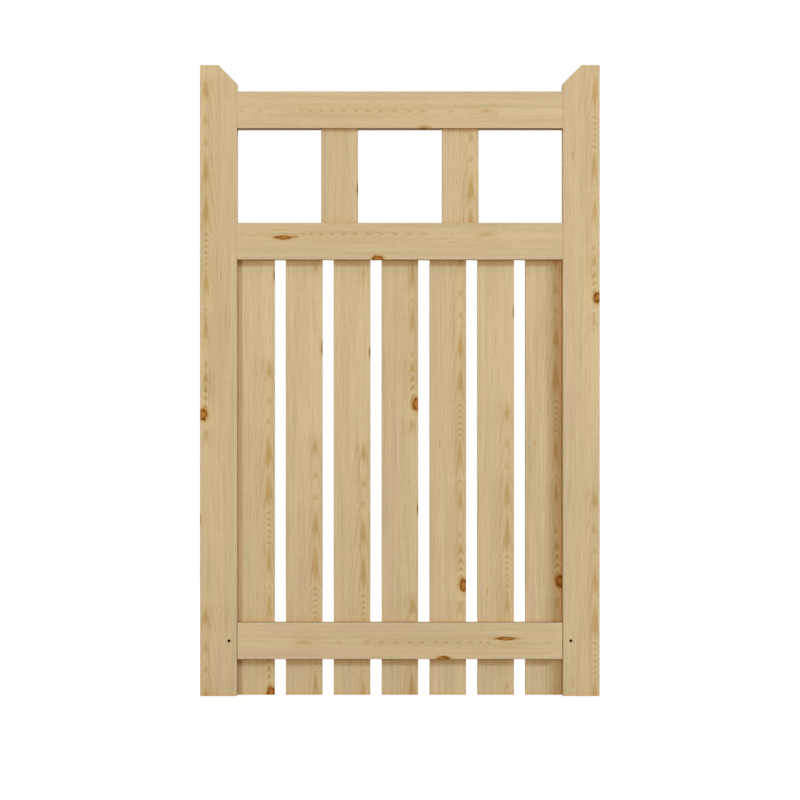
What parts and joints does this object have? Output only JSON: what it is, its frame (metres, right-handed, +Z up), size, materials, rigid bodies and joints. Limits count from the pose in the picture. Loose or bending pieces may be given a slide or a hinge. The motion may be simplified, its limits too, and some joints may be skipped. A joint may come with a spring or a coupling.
{
  "type": "wooden garden gate",
  "caption": "Softwood garden gate leaf: stiles with bevelled horns, three tenoned rails, an open panel with upper slats, and spaced vertical slats below.",
  "frame": {"origin": "on the outer edge face of the hanging stile (left from the front), at its foot, mid-thickness", "axes": "+X across the gate towards the closing stile, +Y from the front to the back, +Z up"},
  "size_m": [0.76, 0.045, 1.2],
  "materials": {
    "frame_pine": "planed, unpainted",
    "slat_pine": "planed, unpainted",
    "dark_steel": "dull, sunk"
  },
  "bodies": {
    "root": {"left_stile": "frame_pine", "right_stile": "frame_pine", "top_rail": "frame_pine", "middle_rail": "frame_pine", "bottom_rail": "frame_pine", "upper_slat_1": "slat_pine", "upper_slat_2": "slat_pine", "slat_1": "slat_pine", "slat_2": "slat_pine", "slat_3": "slat_pine", "slat_4": "slat_pine", "slat_5": "slat_pine", "slat_6": "slat_pine", "slat_7": "slat_pine", "left_tenon_pin": "dark_steel", "right_tenon_pin": "dark_steel"}
  },
  "joints": []
}
